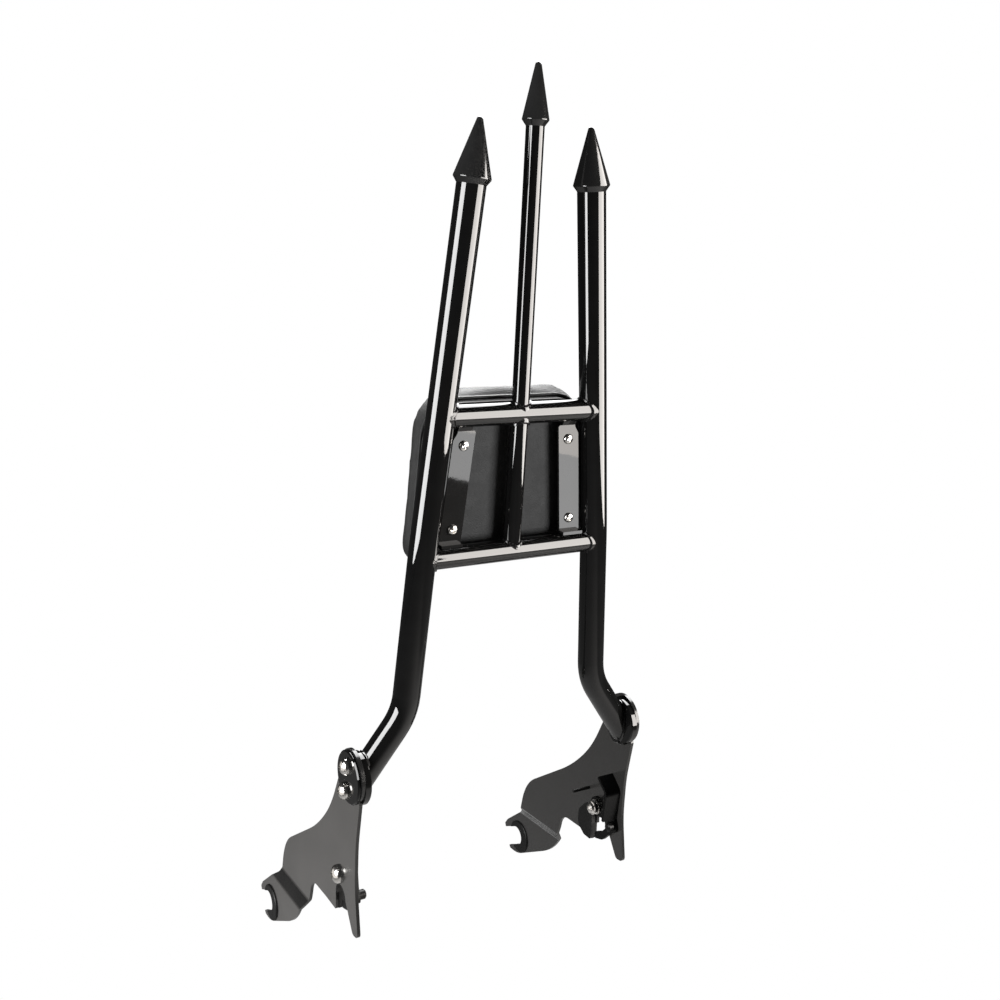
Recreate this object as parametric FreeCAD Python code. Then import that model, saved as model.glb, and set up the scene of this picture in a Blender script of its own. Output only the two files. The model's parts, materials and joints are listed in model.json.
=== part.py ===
"""Detachable passenger backrest with spear tips, for docking on the rear of a touring motorcycle.

Millimetres. +X is the rider's right, +Y is forward, +Z is up. The origin lies on the mid plane,
level with the rear docking points. The right side is drawn and the left side is its mirror image,
except that only the right latch has a thumb tab.
"""
import math
import os

import FreeCAD
import Part
from FreeCAD import Vector

os.makedirs("parts", exist_ok=True)

X_AXIS = Vector(1, 0, 0)
Y_AXIS = Vector(0, 1, 0)
Z_AXIS = Vector(0, 0, 1)
ORIGIN = Vector(0, 0, 0)

# Frame of welded tube
UPRIGHT_D = 25.4
UPRIGHT_WALL = 2.4
CROSSBAR_D = 20.0
ROD_D = 16.0
UPPER_BAR = Vector(79.3, -73.0, 460.0)
LOWER_BAR = Vector(91.6, -57.7, 333.3)
UPRIGHT_TOP = Vector(59.6, -93.5, 652.0)
UPRIGHT_KINK = Vector(90.4, -59.2, 345.0)
UPRIGHT_ELBOW = Vector(101.8, -40.5, 190.0)
UPRIGHT_END = Vector(142.0, -32.0, 133.5)
KINK_RADIUS = 900.0
ELBOW_RADIUS = 62.0
ROD_TOP = Vector(0, -96.2, 701.8)
BEAD_R = 1.6

# Turned spear tips
TIP_R = 16.3
TIP_LENGTH = 53.6
MID_TIP_R = 11.7
MID_TIP_LENGTH = 51.0
TIP_CHAMFER = 5.0
TIP_NOSE = 2.8
TIP_RIM_R = 1.5
SPIGOT_LENGTH = 14.0

# Side plates, the lugs behind their heads and the covers in front
PLATE_GAP = 148.0
PLATE_T = 3.2
HEAD_CENTRE = (-32.0, 136.5)
HEAD_R = 25.0
JOGGLE = 8.0
JOGGLE_TOP = -42.0
JOGGLE_LOW = -54.0
BEND_R = 5.0
LUG_CENTRE = (-33.0, 134.0)
LUG_R = 24.5
LUG_T = 6.0
COVER_CENTRE = (-29.5, 134.5)
COVER_R = 25.0
COVER_T = 3.0
LUG_BOLTS = ((-28.5, 145.0), (-23.5, 120.0))
LUG_BOLT_D = 8.0
LUG_HEAD_R = 8.0
LUG_HEAD_H = 7.0

# Front docking notch and its eccentric liner
FRONT_DOCK = (190.0, -87.5)
FRONT_DOCK_R = 11.2
FRONT_DOCK_TILT = -23.0
FRONT_NOTCH = (187.0, -87.5)
FRONT_NOTCH_R = 15.0
LINER_FLANGE = (186.0, -87.5)
LINER_FLANGE_R = 19.5
LINER_FLANGE_T = 1.6

# Rear docking notch and its liner
REAR_DOCK = (2.5, 7.5)
REAR_DOCK_R = 7.5
REAR_NOTCH = (2.0, 4.0)
REAR_NOTCH_R = 12.0
REAR_FLANGE_T = 3.0

# Latches
PIVOT = (6.0, 25.0)
PIVOT_D = 10.0
PIVOT_PLAY = 0.05
PIVOT_HEAD_R = 9.0
PIVOT_HEAD_H = 7.0
WASHER_R = 8.0
WASHER_T = 1.2
EYE_R = 10.5
LATCH_T = 3.5
LATCH_GAP = 0.5
TAB_PATH = ((-27.0, 24.0), (-33.0, 57.0), (-18.0, 71.0))
TAB_DEPTH = 14.5
TAB_T = 3.0
KNOB = (-23.5, 15.0)
KNOB_R = 4.6
KNOB_LENGTH = 7.0
STOP_PIN = (25.0, 39.0)
STOP_PIN_D = 3.4
STOP_PIN_LENGTH = 21.0

# Pad and its straps, in the leaning plane of the tubes
LEAN = math.degrees(math.atan2(LOWER_BAR.y - UPPER_BAR.y, UPPER_BAR.z - LOWER_BAR.z))
BAR_PITCH = math.hypot(LOWER_BAR.y - UPPER_BAR.y, UPPER_BAR.z - LOWER_BAR.z)
STRAP_W = 22.0
STRAP_T = 3.0
STRAP_BACK = 1.5
STRAP_TOP = -14.0
STRAP_TOP_X = 54.0
STRAP_LOW_X = 63.8
STRAP_CHAMFER = 5.0
TONGUE_W = 14.0
TONGUE_TURN = 4.0
TONGUE_RISE = 7.0
FOOT_DEPTH = 9.0
SCREW_SPOTS = ((54.5, -27.0), (61.6, -103.0))
SCREW_D = 5.0
SCREW_HEAD_R = 4.7
SCREW_HEAD_H = 3.0
SPACER_R = 7.0
SPACER_T = 8.9
INSERT_WALL = 1.5
PAD_BACK = STRAP_BACK + STRAP_T + SPACER_T
PAD_DEPTH = 40.0
PAD_TOP = 17.0
PAD_LOW = -141.0
PAD_TOP_HALF = 83.0
PAD_LOW_HALF = 91.0
PAD_TOP_CORNER = 36.0
PAD_LOW_CORNER = 18.0
PAD_FRONT_EDGE = 13.0
PAD_BACK_EDGE = 8.0
VINYL_T = 1.5
BOARD_INSET = PAD_BACK_EDGE + 0.5
PANEL_INSET = 12.0
BOARD_T = 6.0
SEAM_AT = 11.0
PIPING_R = 1.7

# Planes of the stacked sheet parts on the right side
PLATE_OUT = PLATE_GAP + PLATE_T
LUG_IN = PLATE_GAP - LUG_T
LOBE_IN = PLATE_GAP + JOGGLE
LOBE_OUT = LOBE_IN + PLATE_T
LATCH_OUT = PLATE_GAP - LATCH_GAP
LATCH_IN = LATCH_OUT - LATCH_T
WASHER_IN = LATCH_IN - 0.3 - WASHER_T
REACH = 2.5 * LOBE_OUT


def flip(shape):
    """Left-hand copy of a right-hand shape."""
    return shape.mirror(ORIGIN, X_AXIS)


def save(node, shapes):
    """One STEP file per node; a list becomes a group of separate solids."""
    shape = Part.makeCompound(shapes) if isinstance(shapes, list) else shapes
    shape.exportStep("parts/" + node + ".step")


def save_pair(node, right):
    save("right_" + node, right)
    save("left_" + node, flip(right))


def round_corner(before, corner, after, radius):
    """Start, middle and end of the arc that rounds a corner of a path."""
    back = (before - corner).normalize()
    ahead = (after - corner).normalize()
    half = back.getAngle(ahead) / 2
    reach = radius / math.tan(half)
    inward = (back + ahead).normalize()
    middle = corner + inward * (radius / math.sin(half) - radius)
    return corner + back * reach, middle, corner + ahead * reach


def rounded_wire(corners, to_point):
    """Closed wire through (a, b, radius) corners, each corner rounded by its radius."""
    spots = [Vector(a, b, 0) for a, b, radius in corners]
    count = len(corners)
    edges = []
    ends = []
    for i, (a, b, radius) in enumerate(corners):
        start, middle, stop = round_corner(spots[i - 1], spots[i], spots[(i + 1) % count], radius)
        if radius > 0:
            edges.append(Part.Arc(to_point(start), to_point(middle), to_point(stop)).toShape())
        ends.append((start, stop))
    for i in range(count):
        stop = ends[i][1]
        following = ends[(i + 1) % count][0]
        if (following - stop).Length > 1e-6:
            edges.append(Part.makeLine(to_point(stop), to_point(following)))
    return Part.Wire(Part.sortEdges(edges)[0])


def side_prism(corners, x0, x1):
    """Solid between two X planes with a rounded outline given in (Y, Z)."""
    wire = rounded_wire(corners, lambda p: Vector(x0, p.x, p.y))
    return Part.Face(wire).extrude(Vector(x1 - x0, 0, 0))


def side_disc(centre, radius, x0, x1):
    """Cylinder along X between two X planes."""
    return Part.makeCylinder(radius, x1 - x0, Vector(x0, centre[0], centre[1]), X_AXIS)


def rim_at(shape, x):
    """Edges of a shape that lie in one X plane."""
    return [e for e in shape.Edges if e.BoundBox.XLength < 0.01 and abs(e.BoundBox.XMin - x) < 0.01]


def smooth_path(points, radii):
    """Open path of straight lines joined by tangent arcs."""
    edges = []
    last = points[0]
    for i, radius in enumerate(radii):
        start, middle, stop = round_corner(points[i], points[i + 1], points[i + 2], radius)
        edges.append(Part.makeLine(last, start))
        edges.append(Part.Arc(start, middle, stop).toShape())
        last = stop
    edges.append(Part.makeLine(last, points[-1]))
    return Part.Wire(edges)


def pipe(path, radius):
    """Solid round bar along a path."""
    first = path.Edges[0]
    start = first.valueAt(first.FirstParameter)
    heading = first.tangentAt(first.FirstParameter)
    ring = Part.Wire(Part.makeCircle(radius, start, heading))
    return path.makePipeShell([ring], True, True)


def bar_between(a, b, radius):
    return Part.makeCylinder(radius, (b - a).Length, a, b - a)


def turned(profile, foot, heading):
    """Solid of revolution from (radius, height) points about an axis that starts at foot."""
    points = [Vector(r, 0, h) for r, h in profile]
    face = Part.Face(Part.makePolygon(points + points[:1]))
    solid = face.revolve(ORIGIN, Z_AXIS, 360)
    solid.Placement = FreeCAD.Placement(foot, FreeCAD.Rotation(Z_AXIS, heading))
    return solid


def dome(radius, height, edge):
    """Profile of a dome with a short straight rim."""
    steps = 6
    angles = [i * math.pi / 2 / steps for i in range(steps + 1)]
    return [(radius * math.cos(a), edge + (height - edge) * math.sin(a)) for a in angles]


def lean(shape):
    """From the leaning plane (Z up the tubes, Y out of their front) to the part frame."""
    placed = shape.copy()
    placed.rotate(ORIGIN, X_AXIS, LEAN)
    placed.translate(Vector(0, UPPER_BAR.y, UPPER_BAR.z))
    return placed


# Uprights: one bent tube on each side, from the spear tip to the lug
beyond_lug = UPRIGHT_END + (UPRIGHT_END - UPRIGHT_ELBOW) * 0.4
upright_points = [UPRIGHT_TOP, UPRIGHT_KINK, UPRIGHT_ELBOW, beyond_lug]
upright_path = smooth_path(upright_points, [KINK_RADIUS, ELBOW_RADIUS])
lug_side = Part.makeBox(REACH, 2 * REACH, 2 * REACH, Vector(LUG_IN, -REACH, -REACH))
upright_solid = pipe(upright_path, UPRIGHT_D / 2).cut(lug_side)
upright_bore = pipe(upright_path, UPRIGHT_D / 2 - UPRIGHT_WALL)
save_pair("upright_tube", upright_solid.cut(upright_bore))
upright_pair = [upright_solid, flip(upright_solid)]

# Crossbars run between the uprights and are coped to them
upper_mid = Vector(0, UPPER_BAR.y, UPPER_BAR.z)
lower_mid = Vector(0, LOWER_BAR.y, LOWER_BAR.z)
upper_bar_full = bar_between(upper_mid * 2 - UPPER_BAR, UPPER_BAR, CROSSBAR_D / 2)
lower_bar_full = bar_between(lower_mid * 2 - LOWER_BAR, LOWER_BAR, CROSSBAR_D / 2)
save("upper_crossbar", upper_bar_full.cut(upright_pair))
save("lower_crossbar", lower_bar_full.cut(upright_pair))

# Centre rod stands on the upper bar, the post joins both bars
rod = bar_between(upper_mid, ROD_TOP, ROD_D / 2).cut(upper_bar_full)
post = bar_between(lower_mid, upper_mid, ROD_D / 2).cut([upper_bar_full, lower_bar_full])
save("center_rod", rod)
save("center_post", post)


def spear(radius, length, stem_r, spigot_r):
    """Profile of a cone with a chamfered underside, a small round nose and a spigot for a tube."""
    slope = math.atan2(radius, length - TIP_CHAMFER)
    steps = 5
    angles = [slope + i * (math.pi / 2 - slope) / steps for i in range(steps + 1)]
    ball = length - TIP_NOSE
    nose = [(TIP_NOSE * math.cos(a), ball + TIP_NOSE * math.sin(a)) for a in angles]
    nose[-1] = (0, length)
    foot = [(0, 0), (stem_r, 0)]
    if spigot_r:
        foot = [(0, -SPIGOT_LENGTH), (spigot_r, -SPIGOT_LENGTH), (spigot_r, 0), (stem_r, 0)]
    return foot + [(radius, TIP_CHAMFER)] + nose


def eased_rim(tip, radius):
    """Spear tip with its widest rim rounded."""
    rim = [e for e in tip.Edges if isinstance(e.Curve, Part.Circle) and abs(e.Curve.Radius - radius) < 0.01]
    return tip.makeFillet(TIP_RIM_R, rim)


# Spear tips on the three upper ends
side_profile = spear(TIP_R, TIP_LENGTH, UPRIGHT_D / 2, UPRIGHT_D / 2 - UPRIGHT_WALL)
side_tip = turned(side_profile, UPRIGHT_TOP, UPRIGHT_TOP - UPRIGHT_KINK)
save_pair("spear_tip", eased_rim(side_tip, TIP_R))
mid_profile = spear(MID_TIP_R, MID_TIP_LENGTH, ROD_D / 2, 0)
mid_tip = turned(mid_profile, ROD_TOP, ROD_TOP - upper_mid)
save("center_spear_tip", eased_rim(mid_tip, MID_TIP_R))

# Side plates: one outline with a round head, and a joggle that throws the front lobe outward
notch_front = REAR_NOTCH[0] + REAR_NOTCH_R
notch_rear = REAR_NOTCH[0] - REAR_NOTCH_R
front_edge = [(-13.0, 146.0, 0), (22.0, 86.0, 150), (60.0, 52.0, 235), (152.5, -1.5, 58), (164.0, -23.5, 60)]
front_lobe = [(170.5, -45.5, 6), (213.5, -75.5, 8), (220.0, -83.0, 2)]
lower_lip = [(208.0, -111.0, 3), (190.0, -111.5, 45)]
arch = [(112.0, -73.5, 90), (88.0, -42.0, 80), (79.0, -13.5, 18), (40.0, -14.0, 60)]
rear_notch = [(notch_front + 1.0, -15.5, 2), (notch_front, REAR_NOTCH[1], 0), (notch_rear, REAR_NOTCH[1], 0)]
finger = [(notch_rear - 1.5, 2.0, 3), (-25.5, -21.5, 5), (-37.5, -20.5, 5)]
rear_edge = [(-33.2, 28.0, 150), (-37.5, 72.0, 150), (-48.5, 114.0, 0), (-40.0, 140.0, 0)]
plate_outline = front_edge + front_lobe + lower_lip + arch + rear_notch + finger + rear_edge
joggle_inner = [(0, REACH), (0, JOGGLE_TOP), (JOGGLE, JOGGLE_LOW), (JOGGLE, -REACH)]
bend_shift = PLATE_T * math.tan(math.atan2(JOGGLE, JOGGLE_TOP - JOGGLE_LOW) / 2)
joggle_outer = [(x + PLATE_T, z + bend_shift if abs(z) < REACH else z) for x, z in reversed(joggle_inner)]
section = [Vector(PLATE_GAP + x, -REACH, z) for x, z in joggle_inner + joggle_outer + joggle_inner[:1]]
sheet = Part.Face(Part.makePolygon(section)).extrude(Vector(0, 2 * REACH, 0))
bends = [e for e in sheet.Edges if e.BoundBox.YLength > REACH and abs(e.CenterOfMass.z) < REACH / 2]
sheet = sheet.makeFillet(BEND_R, bends)
head = side_disc(HEAD_CENTRE, HEAD_R, PLATE_GAP - 1, LOBE_OUT + 1)
blank = side_prism(plate_outline, PLATE_GAP - 1, LOBE_OUT + 1).fuse(head)
plate = sheet.common(blank)


def front_mouth(x0, x1):
    """Straight run-in of the front docking notch, from the pin centre forward."""
    run = Part.makeBox(x1 - x0, REACH, 2 * FRONT_DOCK_R, Vector(x0, 0, -FRONT_DOCK_R))
    run.rotate(ORIGIN, X_AXIS, FRONT_DOCK_TILT)
    run.translate(Vector(0, FRONT_DOCK[0], FRONT_DOCK[1]))
    return run


mouth = front_mouth(LOBE_IN - 5, LOBE_OUT + 5)
plate_holes = [
    side_disc(REAR_NOTCH, REAR_NOTCH_R, PLATE_GAP - 1, PLATE_OUT + 1),
    side_disc(FRONT_NOTCH, FRONT_NOTCH_R, LOBE_IN - 1, LOBE_OUT + 1),
    side_disc(PIVOT, PIVOT_D / 2, PLATE_GAP - 1, PLATE_OUT + 1),
    side_disc(STOP_PIN, STOP_PIN_D / 2, PLATE_GAP - 1, PLATE_OUT + 1),
    mouth,
]
bolt_holes = [side_disc(spot, LUG_BOLT_D / 2, LUG_IN - 1, PLATE_OUT + COVER_T + 1) for spot in LUG_BOLTS]
save_pair("side_plate", plate.cut(plate_holes + bolt_holes))

# Lug on the tube end, inside the plate, and a cover disc outside it
lug = side_disc(LUG_CENTRE, LUG_R, LUG_IN, PLATE_GAP)
lug = lug.makeChamfer(1.2, rim_at(lug, LUG_IN))
save_pair("mount_lug", lug.cut(bolt_holes))
cover = side_disc(COVER_CENTRE, COVER_R, PLATE_OUT, PLATE_OUT + COVER_T)
cover = cover.makeChamfer(1.2, rim_at(cover, PLATE_OUT + COVER_T))
save_pair("cover_disc", cover.cut(bolt_holes))


def dome_bolt(spot, seat, shank_r, shank_end, head_r, head_h, socket_r):
    """Dome-head bolt along X with its head outward of the seat plane and a hex socket."""
    shank = [(0, shank_end - seat), (shank_r, shank_end - seat), (shank_r, 0)]
    foot = Vector(seat, spot[0], spot[1])
    bolt = turned(shank + [(head_r, 0)] + dome(head_r, head_h, 1.0), foot, X_AXIS)
    angles = [math.radians(60 * i) for i in range(7)]
    hexagon = [Vector(head_h - 2.6, socket_r * math.cos(a), socket_r * math.sin(a)) + foot for a in angles]
    return bolt.cut(Part.Face(Part.makePolygon(hexagon)).extrude(Vector(head_h, 0, 0)))


right_bolts = []
for spot in LUG_BOLTS:
    seat = PLATE_OUT + COVER_T
    right_bolts.append(dome_bolt(spot, seat, LUG_BOLT_D / 2, LUG_IN + 0.2, LUG_HEAD_R, LUG_HEAD_H, 2.6))
save("lug_bolts", right_bolts + [flip(bolt) for bolt in right_bolts])

# Front docking liner: a neck in the plate's notch between two eccentric flanges
liner_in = LOBE_IN - LINER_FLANGE_T
liner_out = LOBE_OUT + LINER_FLANGE_T
liner = side_disc(FRONT_NOTCH, FRONT_NOTCH_R, LOBE_IN, LOBE_OUT)
for x0, x1, rim in ((liner_in, LOBE_IN, liner_in), (LOBE_OUT, liner_out, liner_out)):
    flange = side_disc(LINER_FLANGE, LINER_FLANGE_R, x0, x1)
    liner = liner.fuse(flange.makeChamfer(0.8, rim_at(flange, rim)))
liner = liner.cut([side_disc(FRONT_DOCK, FRONT_DOCK_R, liner_in - 1, liner_out + 1), mouth])
save_pair("front_liner", liner.removeSplitter())

# Rear docking liner: a lining of the notch with a stepped lobe on the inside of its front wall
lining = side_disc(REAR_NOTCH, REAR_NOTCH_R, PLATE_GAP, PLATE_OUT).common(blank)
lobe_outline = [(12.0, 20.0, 2), (27.0, 22.0, 8), (41.0, 9.0, 12), (42.5, -8.0, 10), (30.0, -17.0, 6)]
step_outline = [(12.0, 18.0, 2), (24.0, 18.0, 6), (35.0, 8.0, 10), (34.0, -6.0, 8), (26.0, -14.0, 5)]
lobe_foot = [(notch_front, -15.0, 2), (notch_front - 2.5, 4.0, 0)]
lobe_step = PLATE_GAP - REAR_FLANGE_T
rear_liner = lining.fuse(side_prism(lobe_outline + lobe_foot, lobe_step, PLATE_GAP))
rear_liner = rear_liner.fuse(side_prism(step_outline + lobe_foot, lobe_step - REAR_FLANGE_T, lobe_step))
bore = side_disc(REAR_DOCK, REAR_DOCK_R, PLATE_GAP - 20, PLATE_OUT + 1)
run_foot = Vector(PLATE_GAP - 20, REAR_DOCK[0] - REAR_DOCK_R, REAR_DOCK[1] - REACH)
run_in = Part.makeBox(40, 2 * REAR_DOCK_R, REACH, run_foot)
eye_room = side_disc(PIVOT, EYE_R + 1.5, PLATE_GAP - 20, PLATE_GAP)
save_pair("rear_liner", rear_liner.cut([bore, run_in, eye_room]).removeSplitter())


def tab_strip(x0, x1):
    """Bent strip along the thumb tab's path, its thickness laid toward the pivot."""
    outer = [Vector(a, b, 0) for a, b in TAB_PATH]
    runs = [(outer[1] - outer[0]).normalize(), (outer[2] - outer[1]).normalize()]
    sides = [Vector(run.y, -run.x, 0) for run in runs]
    mitre = (sides[0] + sides[1]) * (1 / (1 + sides[0].dot(sides[1])))
    inner = [p + side * TAB_T for p, side in zip(outer, (sides[0], mitre, sides[1]))]
    radii = (0, 9, 0, 0, 6, 0)
    corners = [(p.x, p.y, r) for p, r in zip(outer + inner[::-1], radii)]
    return side_prism(corners, x0, x1)


# Latches: a lever on the pivot with a hook that passes under the docking pin from behind
eye = [(2.0, 36.0, 5), (16.0, 35.0, 9), (16.0, 16.5, 8), (0.0, 16.0, 3)]
hook = [(-14.0, 16.0, 3), (-15.0, 11.0, 3), (-5.0, 1.5, 8), (8.0, -4.0, 2), (9.0, -11.5, 2), (-6.0, -8.0, 12)]
hook_heel = [(-20.0, 5.0, 8), (-31.0, 11.0, 5)]
right_lever = [(-27.0, 24.0, 0), (-33.0, 57.0, 9), (-18.0, 71.0, 2), (-10.0, 60.0, 8), (-8.0, 42.0, 10)]
left_lever = [(-26.0, 24.0, 10), (-24.0, 52.0, 8), (-14.0, 60.0, 5), (-8.0, 42.0, 10)]
pivot_hole = side_disc(PIVOT, PIVOT_D / 2 + PIVOT_PLAY, LATCH_IN - 1, LATCH_OUT + 1)
right_latch = side_prism(eye + hook + hook_heel + right_lever, LATCH_IN, LATCH_OUT)
right_latch = right_latch.fuse(tab_strip(LATCH_IN - TAB_DEPTH, LATCH_OUT)).removeSplitter()
left_latch = side_prism(eye + hook + hook_heel + left_lever, LATCH_IN, LATCH_OUT)
save("right_latch", right_latch.cut(pivot_hole))
save("left_latch", flip(left_latch.cut(pivot_hole)))
knob = side_disc(KNOB, KNOB_R, LATCH_IN - KNOB_LENGTH, LATCH_IN)
knob = knob.makeChamfer(1.2, rim_at(knob, LATCH_IN - KNOB_LENGTH))
save_pair("latch_knob", knob)

# Pivot bolt through plate and latch, with a washer and an acorn nut inside, and the lever's stop pin
pivot_end = WASHER_IN - 4.0
save_pair("pivot_bolt", dome_bolt(PIVOT, PLATE_OUT, PIVOT_D / 2, pivot_end, PIVOT_HEAD_R, PIVOT_HEAD_H, 3.2))
washer = side_disc(PIVOT, WASHER_R, WASHER_IN, WASHER_IN + WASHER_T)
save_pair("pivot_washer", washer.cut(side_disc(PIVOT, PIVOT_D / 2, WASHER_IN - 1, WASHER_IN + WASHER_T + 1)))
nut_cap = [(0, 9.0), (2.5, 8.6), (5.0, 7.2), (6.2, 5.0), (7.2, 4.6), (7.2, 0)]
nut_bore = [(PIVOT_D / 2, 0), (PIVOT_D / 2, 4.0), (0, 4.0)]
save_pair("pivot_nut", turned(nut_cap + nut_bore, Vector(WASHER_IN, PIVOT[0], PIVOT[1]), X_AXIS * -1))
save_pair("stop_pin", side_disc(STOP_PIN, STOP_PIN_D / 2, PLATE_GAP - STOP_PIN_LENGTH, PLATE_OUT))

# Straps that carry the pad: a web with a tongue and a foot turned back onto the two bars
strap_low = -BAR_PITCH + CROSSBAR_D / 2 - 0.6
half = STRAP_W / 2
web_outline = [
    (STRAP_TOP_X - half, STRAP_TOP, 2), (STRAP_TOP_X + half - STRAP_CHAMFER, STRAP_TOP, 2),
    (STRAP_TOP_X + half, STRAP_TOP - 1.6 * STRAP_CHAMFER, 2), (STRAP_LOW_X + half, strap_low, 2),
    (STRAP_LOW_X - half, strap_low, 2),
]
web = Part.Face(rounded_wire(web_outline, lambda p: Vector(p.x, STRAP_BACK, p.y))).extrude(Y_AXIS * STRAP_T)
tongue_back = [(0, -STRAP_T), (0, 0), (-TONGUE_TURN, TONGUE_RISE)]
tongue_side = tongue_back + [(y + STRAP_T, z) for y, z in reversed(tongue_back)] + tongue_back[:1]
tongue_x = STRAP_TOP_X - TONGUE_W / 2
tongue_wire = Part.makePolygon([Vector(tongue_x, STRAP_BACK + y, STRAP_TOP + z) for y, z in tongue_side])
tongue = Part.Face(tongue_wire).extrude(X_AXIS * TONGUE_W)
foot_back = STRAP_BACK + STRAP_T - FOOT_DEPTH
foot = Part.makeBox(STRAP_W - 1, FOOT_DEPTH, STRAP_T, Vector(STRAP_LOW_X - half + 0.5, foot_back, strap_low))
strap_holes = [Part.makeCylinder(SCREW_D / 2, 30, Vector(x, -10, z), Y_AXIS) for x, z in SCREW_SPOTS]
right_strap = web.fuse([tongue, foot]).removeSplitter().cut(strap_holes)
save_pair("pad_strap", lean(right_strap).cut([upper_bar_full, lower_bar_full]))


def pad_outline(inset):
    """Corner list of the pad outline, drawn in by an inset."""
    top_r = PAD_TOP_CORNER - inset
    low_r = PAD_LOW_CORNER - inset
    top = PAD_TOP - inset
    low = PAD_LOW + inset
    top_half = PAD_TOP_HALF - inset
    low_half = PAD_LOW_HALF - inset
    return [(-top_half, top, top_r), (top_half, top, top_r), (low_half, low, low_r), (-low_half, low, low_r)]


def pad_slab(inset, y0, y1):
    wire = rounded_wire(pad_outline(inset), lambda p: Vector(p.x, y0, p.y))
    return Part.Face(wire).extrude(Y_AXIS * (y1 - y0))


def cushion(inset):
    """Pad form with its front and back edges rounded, drawn in by an inset all round."""
    y0 = PAD_BACK + inset
    y1 = PAD_BACK + PAD_DEPTH - inset
    form = pad_slab(inset, y0, y1)
    for y, radius in ((y1, PAD_FRONT_EDGE - inset), (y0, PAD_BACK_EDGE - inset)):
        rim = [e for e in form.Edges if e.BoundBox.YLength < 0.01 and abs(e.BoundBox.YMin - y) < 0.01]
        form = form.makeFillet(radius, rim)
    return form


# Pad: board and foam in a vinyl cover with a piped seam, closed by a back panel
board_back = PAD_BACK + VINYL_T
board_front = board_back + BOARD_T
spots = [(side * x, z) for x, z in SCREW_SPOTS for side in (1, -1)]
screw_holes = [Part.makeCylinder(SCREW_D / 2, 60, Vector(x, 0, z), Y_AXIS) for x, z in spots]
insert_r = SCREW_D / 2 + INSERT_WALL
insert_holes = [Part.makeCylinder(insert_r, BOARD_T, Vector(x, board_back, z), Y_AXIS) for x, z in spots]
outer = cushion(0)
inner = cushion(VINYL_T)
board_slab = pad_slab(BOARD_INSET, board_back, board_front)
seam_path = rounded_wire(pad_outline(0), lambda p: Vector(p.x, PAD_BACK + SEAM_AT, p.y))
save("pad_board", lean(board_slab.cut(insert_holes)))
save("pad_foam", lean(inner.cut(board_slab)))
save("pad_cover", lean(outer.cut([inner, pad_slab(PANEL_INSET, 0, board_back)])))
save("pad_back_panel", lean(pad_slab(PANEL_INSET, PAD_BACK, board_back).cut(screw_holes)))
save("pad_piping", lean(pipe(seam_path, PIPING_R).cut(outer)))


def ring_along_y(outer_r, length, x, y, z):
    """Plain ring with a hole for the pad screw."""
    foot = Vector(x, y, z)
    hole = Part.makeCylinder(SCREW_D / 2, length, foot, Y_AXIS)
    return Part.makeCylinder(outer_r, length, foot, Y_AXIS).cut(hole)


# Pad screws with a cross recess, their spacers behind the pad and their inserts in the board
grip = STRAP_T + SPACER_T + VINYL_T + BOARD_T
shank = [(0, -grip), (SCREW_D / 2, -grip), (SCREW_D / 2, 0), (SCREW_HEAD_R, 0)]
recess = 5.2
blade = 1.1
screws = []
for x, z in spots:
    screw = turned(shank + dome(SCREW_HEAD_R, SCREW_HEAD_H, 0.5), Vector(x, STRAP_BACK, z), Y_AXIS * -1)
    back = STRAP_BACK - SCREW_HEAD_H - 0.6
    arms = ((recess, blade), (blade, recess))
    cross = [Part.makeBox(w, 2.4, h, Vector(x - w / 2, back, z - h / 2)) for w, h in arms]
    screws.append(lean(screw.cut(cross)))
save("pad_screws", screws)
save("pad_spacers", [lean(ring_along_y(SPACER_R, SPACER_T, x, STRAP_BACK + STRAP_T, z)) for x, z in spots])
save("pad_inserts", [lean(ring_along_y(insert_r, BOARD_T, x, board_back, z)) for x, z in spots])

# Weld beads: collars in the corners of the joints
def bead(thin, thin_wide, thick, thick_wide):
    """Collar where two bars meet: what their widened forms share outside both bars."""
    return max(thin_wide.common(thick_wide).cut([thin, thick]).Solids, key=lambda solid: solid.Volume)


upright_wide = pipe(upright_path, UPRIGHT_D / 2 + BEAD_R)
upper_wide = bar_between(upper_mid * 2 - UPPER_BAR, UPPER_BAR, CROSSBAR_D / 2 + BEAD_R)
lower_wide = bar_between(lower_mid * 2 - LOWER_BAR, LOWER_BAR, CROSSBAR_D / 2 + BEAD_R)
rod_wide = bar_between(upper_mid, ROD_TOP, ROD_D / 2 + BEAD_R)
post_wide = bar_between(lower_mid, upper_mid, ROD_D / 2 + BEAD_R)
right_beads = []
for bar, bar_wide in ((upper_bar_full, upper_wide), (lower_bar_full, lower_wide)):
    right_beads.append(bead(bar, bar_wide, upright_solid, upright_wide))
beads = right_beads + [flip(collar) for collar in right_beads]
beads.append(bead(rod, rod_wide, upper_bar_full, upper_wide))
for bar, bar_wide in ((upper_bar_full, upper_wide), (lower_bar_full, lower_wide)):
    beads.append(bead(post, post_wide, bar, bar_wide))
save("frame_welds", beads)
lug_collar = upright_wide.cut(pipe(upright_path, UPRIGHT_D / 2))
save_pair("lug_weld", lug_collar.common(side_disc(LUG_CENTRE, LUG_R - 0.2, LUG_IN - BEAD_R, LUG_IN)))
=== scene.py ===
"""Passenger backrest in a studio: gloss black frame, pebbled pad, bright fasteners."""
import json
import math

import bmesh
import bpy
from mathutils import Matrix, Vector


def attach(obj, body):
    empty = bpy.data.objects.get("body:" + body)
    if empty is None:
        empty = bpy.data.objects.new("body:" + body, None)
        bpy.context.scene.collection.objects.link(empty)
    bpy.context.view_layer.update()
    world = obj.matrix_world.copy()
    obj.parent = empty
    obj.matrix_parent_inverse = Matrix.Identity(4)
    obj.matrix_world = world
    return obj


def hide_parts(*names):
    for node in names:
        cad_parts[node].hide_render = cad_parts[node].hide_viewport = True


MM = 0.001

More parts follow.
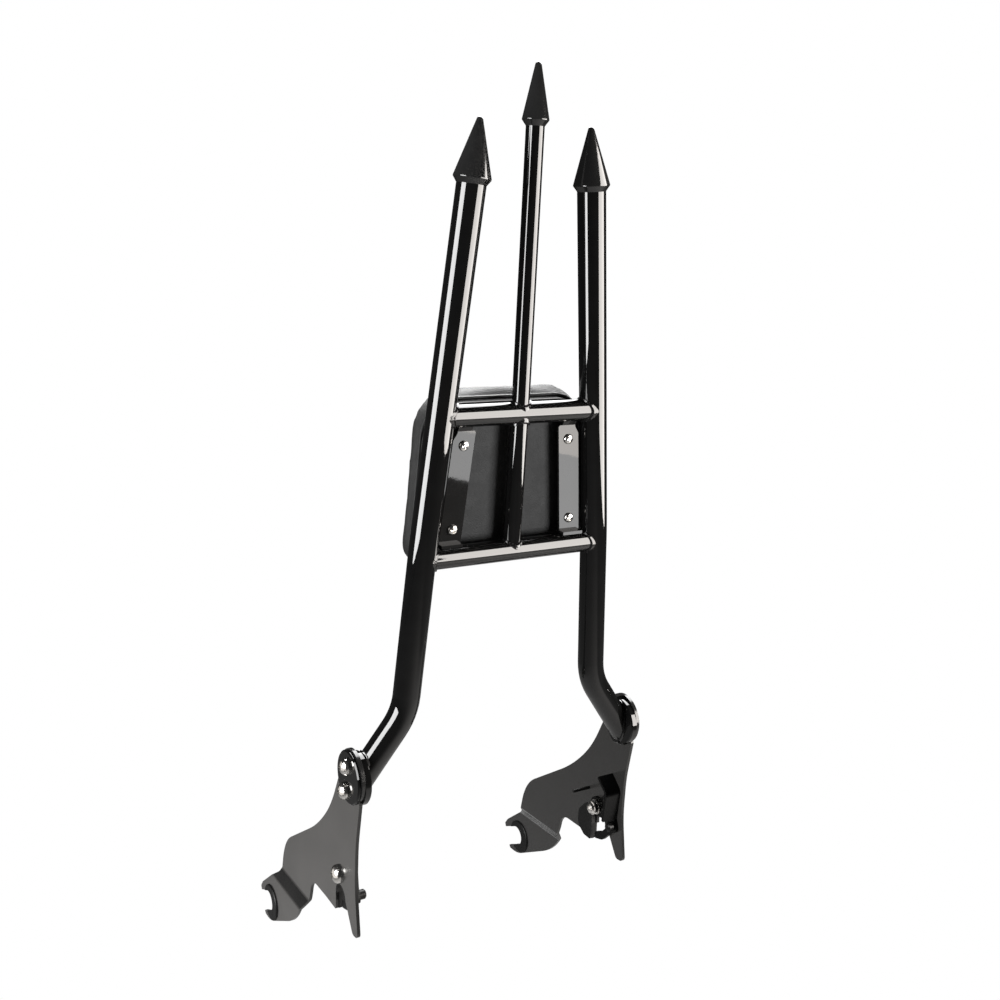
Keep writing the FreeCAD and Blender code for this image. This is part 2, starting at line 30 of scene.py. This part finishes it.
# Camera
CAMERA_AT = Vector((-522.9, -942.7, 550.8)) * MM
CAMERA_AIM = Vector((0.4933, 0.8542, -0.1645))
CAMERA_LENS = 41.18
SENSOR = 36.0

# Studio, in metres: pale floor, dim surroundings
FLOOR_Z = -0.9
FLOOR_SIZE = 9.0
FLOOR_GREY = 0.25
FLOOR_ROUGH = 0.9
WORLD_DIM = 0.03

# Main softbox to the right rear, and how far its plane goes on for single pieces
WHITE = (1.0, 1.0, 1.0)
WARM = (1.0, 0.957, 0.915)
MAIN_AZIMUTH = -41
MAIN_DISTANCE = 2.1
MAIN_WIDTH = 1.95
MAIN_LOW = -0.28
MAIN_HIGH = 1.33
MAIN_RADIANCE = 15.5
BARS_LOW = -0.60
BARS_HIGH = 1.73
STRAP_LOW = {"left": -0.43, "right": -0.66}
STRAP_RADIANCE = 10
TIP_HIGH = {"left": 1.385, "right": 1.55}
PLATE_RADIANCE = {"left": 0.50, "right": 0.27}

# Crossbars in mm: the pad hangs on them and leans with them
UPPER_BAR_Y = -73.0
UPPER_BAR_Z = 460.0
LOWER_BAR_Y = -57.7
LOWER_BAR_Z = 333.3
PAD_AT = Vector((0, UPPER_BAR_Y, UPPER_BAR_Z))
PAD_LEAN = math.atan2(LOWER_BAR_Y - UPPER_BAR_Y, UPPER_BAR_Z - LOWER_BAR_Z)

# Pad in its leaning frame, in mm: X across, Y out of the front, Z up
PAD_BACK = 13.4
PAD_DEPTH = 40.0
PAD_TOP = 17.0
PAD_LOW = -141.0
PAD_TOP_HALF = 83.0
PAD_LOW_HALF = 91.0
PAD_TOP_CORNER = 36.0
PAD_LOW_CORNER = 18.0
PAD_LEAST_CORNER = 2.0
PAD_FRONT_EDGE = 13.0
PAD_BACK_EDGE = 8.0
PANEL_INSET = 30.0
PIPING_R = 1.7

# Pad's soft form, in mm: sides bulge, the top crests in front of the seam and falls away behind it
SEAM_AT = 11.0
SEAM_DIP = 0.5
BULGE = 4.2
CROWN = 8.8
CREST = 2.5
CREST_AT = 28.0
BACK_FALL = 9.0
SWELL = 5.0
PRESSURE = 4.0
CLOTH_FRAMES = 20
VOXEL = 4.5
CORNER_STEPS = 10
EDGE_STEPS = 5
PIPING_STEPS = 4
SMOOTH_PASSES = 3
SUBDIVISIONS = 1

# Middle range that a noise mostly keeps to
NOISE_LOW = 0.3
NOISE_HIGH = 0.7

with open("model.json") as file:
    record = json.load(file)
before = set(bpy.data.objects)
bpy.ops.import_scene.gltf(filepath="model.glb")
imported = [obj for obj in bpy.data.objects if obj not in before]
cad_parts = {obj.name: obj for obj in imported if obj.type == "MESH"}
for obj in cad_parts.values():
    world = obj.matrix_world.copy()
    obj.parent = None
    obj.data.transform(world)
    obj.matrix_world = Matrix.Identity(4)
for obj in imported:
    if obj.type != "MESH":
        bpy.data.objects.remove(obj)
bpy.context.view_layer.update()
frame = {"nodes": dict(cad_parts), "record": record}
nodes = frame["nodes"]


class Finish:
    """Finish of a surface, with colour, roughness and relief that vary over the piece."""

    def __init__(self, name):
        self.material = bpy.data.materials.new(name)
        self.material.use_nodes = True
        self.tree = self.material.node_tree
        self.shader = self.tree.nodes["Principled BSDF"]
        self.place = self.add("ShaderNodeTexCoord").outputs["Object"]

    def add(self, kind, **values):
        node = self.tree.nodes.new(kind)
        for key, value in values.items():
            setattr(node, key, value)
        return node

    def set(self, **values):
        for key, value in values.items():
            self.shader.inputs[key.replace("_", " ")].default_value = value

    def link(self, output, socket):
        self.tree.links.new(output, socket)

    def noise(self, scale, detail=3.0):
        node = self.add("ShaderNodeTexNoise")
        self.link(self.place, node.inputs["Vector"])
        node.inputs["Scale"].default_value = scale
        node.inputs["Detail"].default_value = detail
        return node.outputs["Fac"]

    def pebbles(self, scale):
        node = self.add("ShaderNodeTexVoronoi", feature="SMOOTH_F1")
        self.link(self.place, node.inputs["Vector"])
        node.inputs["Scale"].default_value = scale
        return node.outputs["Distance"]

    def tint(self, value, dark, light):
        """Base colour between dark and light."""
        node = self.add("ShaderNodeMix", data_type="RGBA")
        self.link(value, node.inputs["Factor"])
        node.inputs["A"].default_value = (*dark, 1)
        node.inputs["B"].default_value = (*light, 1)
        self.link(node.outputs["Result"], self.shader.inputs["Base Color"])

    def roughen(self, value, low, high):
        """Roughness from low to high over the middle range of a noise."""
        node = self.add("ShaderNodeMapRange")
        self.link(value, node.inputs["Value"])
        node.inputs["From Min"].default_value = NOISE_LOW
        node.inputs["From Max"].default_value = NOISE_HIGH
        node.inputs["To Min"].default_value = low
        node.inputs["To Max"].default_value = high
        self.link(node.outputs["Result"], self.shader.inputs["Roughness"])

    def bump(self, height, strength, distance):
        node = self.add("ShaderNodeBump")
        self.link(height, node.inputs["Height"])
        node.inputs["Strength"].default_value = strength
        node.inputs["Distance"].default_value = distance
        self.link(node.outputs["Normal"], self.shader.inputs["Normal"])


def grey(value):
    """Neutral colour."""
    return (value, value, value)


def coated(name, dark, light, rough, ripple, specular=0.5):
    """Powder-coated steel with a faint orange-peel ripple."""
    made = Finish(name)
    made.tint(made.noise(scale=60), grey(dark), grey(light))
    made.roughen(made.noise(scale=25), *rough)
    made.bump(made.noise(scale=220, detail=2.0), strength=ripple, distance=0.0004)
    made.set(Specular_IOR_Level=specular)
    return made.material


def bright(name):
    """Polished zinc with fine turning marks."""
    made = Finish(name)
    made.tint(made.noise(scale=400), dark=(0.62, 0.60, 0.57), light=(0.80, 0.79, 0.77))
    made.roughen(made.noise(scale=300), low=0.12, high=0.24)
    made.set(Metallic=1.0)
    return made.material


def moulded(name):
    """Black nylon with a fine matt grain."""
    made = Finish(name)
    made.tint(made.noise(scale=90), grey(0.003), grey(0.007))
    made.roughen(made.noise(scale=60), low=0.40, high=0.55)
    made.bump(made.noise(scale=900, detail=2.0), strength=0.15, distance=0.0002)
    made.set(Specular_IOR_Level=0.25)
    return made.material


def pebbled(name, rough, grain):
    """Black vinyl with an embossed pebble grain."""
    made = Finish(name)
    made.tint(made.noise(scale=140), grey(0.014), grey(0.024))
    made.roughen(made.noise(scale=80), *rough)
    made.bump(made.pebbles(scale=1000), strength=grain, distance=0.0005)
    made.set(Specular_IOR_Level=0.35)
    return made.material


tube_coat = coated("tube_coat", 0.002, 0.004, rough=(0.02, 0.035), ripple=0.015)
plate_coat = coated("plate_coat", 0.007, 0.011, rough=(0.17, 0.22), ripple=0.02)
strap_coat = coated("strap_coat", 0.006, 0.010, rough=(0.02, 0.03), ripple=0.01, specular=0.28)
cover_coat = coated("cover_coat", 0.002, 0.004, rough=(0.03, 0.05), ripple=0.03, specular=0.3)
tip_coat = coated("tip_coat", 0.005, 0.009, rough=(0.05, 0.08), ripple=0.02)
latch_coat = coated("latch_coat", 0.003, 0.006, rough=(0.30, 0.42), ripple=0.05, specular=0.2)
weld_coat = coated("weld_coat", 0.004, 0.008, rough=(0.06, 0.12), ripple=0.9)
zinc = bright("bright_zinc")
nylon = moulded("black_nylon")
vinyl = pebbled("pebbled_vinyl", rough=(0.56, 0.62), grain=0.6)
piping = pebbled("piping_vinyl", rough=(0.40, 0.48), grain=0.05)
looks = {
    "gloss_black_tube": tube_coat,
    "black_plate": plate_coat,
    "black_strap": strap_coat,
    "gloss_cover": cover_coat,
    "black_tip": tip_coat,
    "black_latch": latch_coat,
    "black_nylon": nylon,
    "black_vinyl": vinyl,
    "foam": nylon,
    "plywood": nylon,
    "bright_fastener": zinc,
}
for part in frame["record"]["subparts"]:
    mesh = nodes[part["node"]].data
    mesh.materials.clear()
    mesh.materials.append(looks[part["material_slot"]])

# Rippled weld beads, and a pin coated together with its plate
nodes["frame_welds"].data.materials[0] = weld_coat
nodes["left_stop_pin"].data.materials[0] = plate_coat


def pad_outline(inset, depth):
    """Outline of the pad at a depth, drawn in by an inset."""
    climb = min(max((depth - SEAM_AT) / (CREST_AT - SEAM_AT), 0), 1)
    fall = BACK_FALL * max(1 - depth / SEAM_AT, 0)
    top = PAD_TOP + CREST - CROWN * (1 - climb) - fall - max(inset, 0)
    low = PAD_LOW + inset
    top_half, low_half = PAD_TOP_HALF - inset, PAD_LOW_HALF - inset
    top_r = max(PAD_TOP_CORNER - inset, PAD_LEAST_CORNER)
    low_r = max(PAD_LOW_CORNER - inset, PAD_LEAST_CORNER)
    corners = [(Vector((top_half, top)), top_r), (Vector((-top_half, top)), top_r)]
    corners += [(Vector((-low_half, low)), low_r), (Vector((low_half, low)), low_r)]
    points = []
    for i, (corner, radius) in enumerate(corners):
        back = (corners[i - 1][0] - corner).normalized()
        on = (corners[(i + 1) % len(corners)][0] - corner).normalized()
        half = back.angle(on) / 2
        centre = corner + (back + on).normalized() * (radius / math.sin(half))
        start = corner + back * (radius / math.tan(half)) - centre
        sweep = math.pi - 2 * half
        for k in range(CORNER_STEPS + 1):
            turn = Matrix.Rotation(sweep * k / CORNER_STEPS, 2)
            points.append(centre + turn @ start)
    return points


def pad_profile():
    """Inset and depth from the back panel round the sides to the front panel."""
    front = PAD_DEPTH - SWELL
    quarter = [math.pi / 2 * k / EDGE_STEPS for k in range(EDGE_STEPS + 1)]
    profile = [(PAD_BACK_EDGE + PANEL_INSET, 0)]
    for turn in quarter:
        profile.append((PAD_BACK_EDGE * (1 - math.sin(turn)), PAD_BACK_EDGE * (1 - math.cos(turn))))
    profile.append((SEAM_DIP, SEAM_AT))
    for k in range(1, EDGE_STEPS):
        share = k / EDGE_STEPS
        depth = SEAM_AT + share * (front - PAD_FRONT_EDGE - SEAM_AT)
        profile.append((-BULGE * math.sin(math.pi / 2 * share), depth))
    for turn in quarter:
        inset = (PAD_FRONT_EDGE + BULGE) * (1 - math.cos(turn)) - BULGE
        profile.append((inset, front - PAD_FRONT_EDGE * (1 - math.sin(turn))))
    profile.append((PAD_FRONT_EDGE + PANEL_INSET, front))
    return profile


def pad_ring(inset, depth):
    """Pad's outline at a depth, from its leaning frame in mm to the object's frame in metres."""
    tilt = Matrix.Rotation(PAD_LEAN, 3, "X")
    points = [Vector((p.x, PAD_BACK + depth, p.y)) for p in pad_outline(inset, depth)]
    return [(tilt @ point + PAD_AT) * MM for point in points]


def closed_loft(name, rings):
    """Mesh through rings of equal length, closed by a flat face at both ends."""
    shape = bmesh.new()
    rows = [[shape.verts.new(point) for point in ring] for ring in rings]
    for row, after in zip(rows, rows[1:]):
        for i in range(len(row)):
            shape.faces.new((row[i - 1], row[i], after[i], after[i - 1]))
    shape.faces.new(rows[0])
    shape.faces.new(rows[-1][::-1])
    bmesh.ops.recalc_face_normals(shape, faces=shape.faces)
    mesh = bpy.data.meshes.new(name)
    shape.to_mesh(mesh)
    shape.free()
    made = bpy.data.objects.new(name, mesh)
    bpy.context.collection.objects.link(made)
    return made


def round_cord(name, ring, radius):
    """Closed cord of a radius along a ring of points."""
    path = bpy.data.curves.new(name, "CURVE")
    path.dimensions = "3D"
    path.bevel_depth = radius
    path.bevel_resolution = PIPING_STEPS
    line = path.splines.new("POLY")
    line.use_cyclic_u = True
    line.points.add(len(ring) - 1)
    for point, co in zip(line.points, ring):
        point.co = (*co, 1)
    guide = bpy.data.objects.new(name + "_guide", path)
    made = bpy.data.objects.new(name, bpy.data.meshes.new_from_object(guide))
    bpy.data.objects.remove(guide)
    bpy.context.collection.objects.link(made)
    return made


def apply_modifiers(piece):
    """Turn a piece's modifiers into mesh."""
    shown = bpy.context.evaluated_depsgraph_get()
    mesh = bpy.data.meshes.new_from_object(piece.evaluated_get(shown))
    piece.modifiers.clear()
    piece.data = mesh


def swell(piece):
    """Fill the pad's skin with its foam: the front swells, the back stays on its board."""
    remesh = piece.modifiers.new("skin", "REMESH")
    remesh.mode = "VOXEL"
    remesh.voxel_size = VOXEL * MM
    apply_modifiers(piece)
    start = [v.co.copy() for v in piece.data.vertices]
    to_pad = Matrix.Rotation(-PAD_LEAN, 3, "X")
    depth = [(to_pad @ (co / MM - PAD_AT)).y - PAD_BACK for co in start]
    held = piece.vertex_groups.new(name="held")
    held.add([i for i, y in enumerate(depth) if y < SEAM_AT], 1.0, "REPLACE")
    cloth = piece.modifiers.new("foam_pressure", "CLOTH")
    cloth.settings.use_pressure = True
    cloth.settings.uniform_pressure_force = PRESSURE
    cloth.settings.vertex_group_mass = "held"
    cloth.settings.effector_weights.gravity = 0.0
    for step in range(1, CLOTH_FRAMES + 1):
        bpy.context.scene.frame_set(step)
    shown = piece.evaluated_get(bpy.context.evaluated_depsgraph_get())
    moved = [v.co.copy() for v in shown.data.vertices]
    piece.modifiers.clear()
    for vertex, before, after in zip(piece.data.vertices, start, moved):
        shift = after - before
        if shift.length > SWELL * MM:
            shift *= SWELL * MM / shift.length
        vertex.co = before + shift
    bpy.context.scene.frame_set(1)


def refine(piece):
    """Smooth and subdivide a piece."""
    smooth = piece.modifiers.new("smooth", "SMOOTH")
    smooth.iterations = SMOOTH_PASSES
    finer = piece.modifiers.new("finer", "SUBSURF")
    finer.levels = SUBDIVISIONS
    finer.render_levels = SUBDIVISIONS
    apply_modifiers(piece)


def dress(piece, material, slot, *replaced):
    """Smooth faces, material and body of a new piece, and the nodes that it stands for; the slot is not
    used.
    """
    for face in piece.data.polygons:
        face.use_smooth = True
    piece.data.materials.clear()
    piece.data.materials.append(material)
    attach(piece, "backrest")
    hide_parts(*replaced)


# Pad: vinyl skin over foam, piped along the seam
pad = closed_loft("pad", [pad_ring(inset, depth) for inset, depth in pad_profile()])
swell(pad)
refine(pad)
dress(pad, vinyl, "black_vinyl", "pad_cover", "pad_foam", "pad_back_panel")
welt = round_cord("pad_welt", pad_ring(0, SEAM_AT), PIPING_R * MM)
dress(welt, piping, "black_vinyl", "pad_piping")


def softbox(name, azimuth, height, distance, size, radiance, aim_height=None, colour=WHITE):
    """Rectangular light of even brightness, facing the middle of the object."""
    data = bpy.data.lights.new(name, "AREA")
    data.shape = "RECTANGLE"
    data.size, data.size_y = size
    data.energy = radiance * math.pi * size[0] * size[1]
    data.color = colour
    lamp = bpy.data.objects.new(name, data)
    turn = math.radians(azimuth)
    lamp.location = (distance * math.cos(turn), distance * math.sin(turn), height)
    aim = Vector((0, 0, height if aim_height is None else aim_height))
    lamp.rotation_euler = (aim - lamp.location).to_track_quat("-Z", "Y").to_euler()
    lamp.visible_camera = False
    bpy.context.collection.objects.link(lamp)
    return lamp


def main_strip(name, low, high, radiance=MAIN_RADIANCE, colour=WARM):
    """Softbox in the plane of the main one, between two heights."""
    middle = (low + high) / 2
    size = (MAIN_WIDTH, high - low)
    return softbox(name, MAIN_AZIMUTH, middle, MAIN_DISTANCE, size, radiance, colour=colour)


def linked(name, pieces, state):
    """Pieces that a softbox takes in or leaves out."""
    group = bpy.data.collections.new(name)
    for piece in pieces:
        group.objects.link(piece)
    for member in group.collection_objects:
        member.light_linking.link_state = state
    return group


def shine_on(lamp, pieces, state="INCLUDE"):
    """Flag a softbox off from everything but a few pieces, or only from those."""
    lamp.light_linking.receiver_collection = linked(lamp.name + "_pieces", pieces, state)


def picked(*names):
    """Pieces of these names."""
    return [nodes[name] for name in names]


# Boxes to the right rear, to the left and overhead: the pad has its own, and the right lever stays dull
main_box = main_strip("main_box", MAIN_LOW, MAIN_HIGH)
left_box = softbox("left_box", azimuth=-172, height=0.515, distance=1.3, size=(0.8, 0.87), radiance=19)
top_box = softbox(
    "top_box", azimuth=40, height=1.9, distance=1.25, size=(1.8, 1.6), radiance=12, aim_height=0.3
)
shine_on(main_box, [pad, welt, nodes["right_latch"]], "EXCLUDE")
shine_on(left_box, [pad, welt, nodes["right_latch"]], "EXCLUDE")
shine_on(top_box, [pad, welt], "EXCLUDE")

# Crossbars: the main light goes on above and below, and a dim one comes from the floor
bars = picked("upper_crossbar", "lower_crossbar", "frame_welds")
shine_on(main_strip("high_bar_box", MAIN_HIGH, BARS_HIGH), bars)
shine_on(main_strip("low_bar_box", BARS_LOW, MAIN_LOW), bars)
floor_box = softbox(
    "floor_box", azimuth=-37, height=-0.60, distance=1.5, size=(1.6, 1.2), radiance=0.4,
    aim_height=5.0, colour=WARM,
)
shine_on(floor_box, bars)

# Pad straps: a paler light goes on below the main one, furthest for the right strap
for side, low in STRAP_LOW.items():
    strap_box = main_strip(side + "_strap_box", low, MAIN_LOW, STRAP_RADIANCE, WHITE)
    shine_on(strap_box, picked(side + "_pad_strap"))

# Side plates: an even sheen that passes the levers, and a gleam on the right one's step
for side, radiance in PLATE_RADIANCE.items():
    plate_box = softbox(
        side + "_plate_box", azimuth=128, height=-0.53, distance=1.5, size=(0.9, 1.1),
        radiance=radiance, colour=WARM,
    )
    shine_on(plate_box, picked(side + "_side_plate", side + "_stop_pin"))
    levers = picked(side + "_latch", side + "_latch_knob", side + "_stop_pin")
    plate_box.light_linking.blocker_collection = linked(plate_box.name + "_passed", levers, "EXCLUDE")
joggle_box = softbox(
    "joggle_box", azimuth=92, height=-0.66, distance=1.15, size=(0.4, 0.4), radiance=0.8,
    aim_height=-0.05,
)
shine_on(joggle_box, picked("right_side_plate"))

# Streaks on the outer spear tips, the bright fasteners, and a soft glow on two tips
for side, high in TIP_HIGH.items():
    shine_on(main_strip(side + "_tip_box", MAIN_HIGH, high), picked(side + "_spear_tip"))
chrome_box = softbox(
    "chrome_box", azimuth=165, height=-0.1, distance=1.3, size=(2.2, 1.1), radiance=0.9, colour=WARM
)
shine_on(chrome_box, picked("left_pivot_bolt", "right_pivot_nut", "lug_bolts"))
glow_box = softbox(
    "glow_box", azimuth=-150, height=1.5, distance=0.6, size=(0.6, 0.6), radiance=16, aim_height=0.7
)
glow_box.visible_glossy = False
shine_on(glow_box, picked("left_spear_tip", "center_spear_tip"))

# Pad's own boxes: back, top, front and left side
pad_boxes = [
    softbox("back_box", azimuth=-64, height=0.05, distance=2.1, size=(0.9, 1.0), radiance=16),
    softbox(
        "pad_box", azimuth=60, height=1.25, distance=0.3, size=(0.9, 0.6), radiance=30, aim_height=0.45
    ),
    softbox("front_box", azimuth=58, height=0.80, distance=1.1, size=(1.2, 0.5), radiance=4),
    softbox("side_box", azimuth=172, height=0.45, distance=1.2, size=(0.5, 0.9), radiance=9),
]
for lamp in pad_boxes:
    shine_on(lamp, [pad, welt])


def lit_white(tree, shader, dim):
    """White to the camera, and a dim share of it to every other ray."""
    paths = tree.nodes.new("ShaderNodeLightPath")
    strength = tree.nodes.new("ShaderNodeMapRange")
    strength.inputs["To Min"].default_value = dim
    tree.links.new(paths.outputs["Is Camera Ray"], strength.inputs["Value"])
    tree.links.new(strength.outputs["Result"], shader.inputs["Strength"])
    return paths


world = bpy.data.worlds.new("studio")
world.use_nodes = True
bpy.context.scene.world = world
sky = world.node_tree.nodes["Background"]
sky.inputs["Color"].default_value = (*WHITE, 1)
lit_white(world.node_tree, sky, WORLD_DIM)

# Pale floor below the object: white to the camera, matt paper to everything else
paper = bpy.data.materials.new("paper")
paper.use_nodes = True
tree = paper.node_tree
matt = tree.nodes["Principled BSDF"]
matt.inputs["Base Color"].default_value = (*grey(FLOOR_GREY), 1)
matt.inputs["Roughness"].default_value = FLOOR_ROUGH
glow = tree.nodes.new("ShaderNodeEmission")
glow_paths = lit_white(tree, glow, 0.0)
share = tree.nodes.new("ShaderNodeMixShader")
tree.links.new(glow_paths.outputs["Is Camera Ray"], share.inputs["Fac"])
tree.links.new(matt.outputs["BSDF"], share.inputs[1])
tree.links.new(glow.outputs["Emission"], share.inputs[2])
tree.links.new(share.outputs["Shader"], tree.nodes["Material Output"].inputs["Surface"])
bpy.ops.mesh.primitive_plane_add(size=FLOOR_SIZE, location=(0, 0, FLOOR_Z))
floor = bpy.context.object
floor.name = "floor"
floor.data.materials.append(paper)

camera_data = bpy.data.cameras.new("camera")
camera_data.lens = CAMERA_LENS
camera_data.sensor_width = SENSOR
camera = bpy.data.objects.new("camera", camera_data)
camera.location = CAMERA_AT
camera.rotation_euler = CAMERA_AIM.to_track_quat("-Z", "Y").to_euler()
bpy.context.collection.objects.link(camera)
bpy.context.scene.camera = camera
bpy.context.scene.view_settings.view_transform = "Standard"
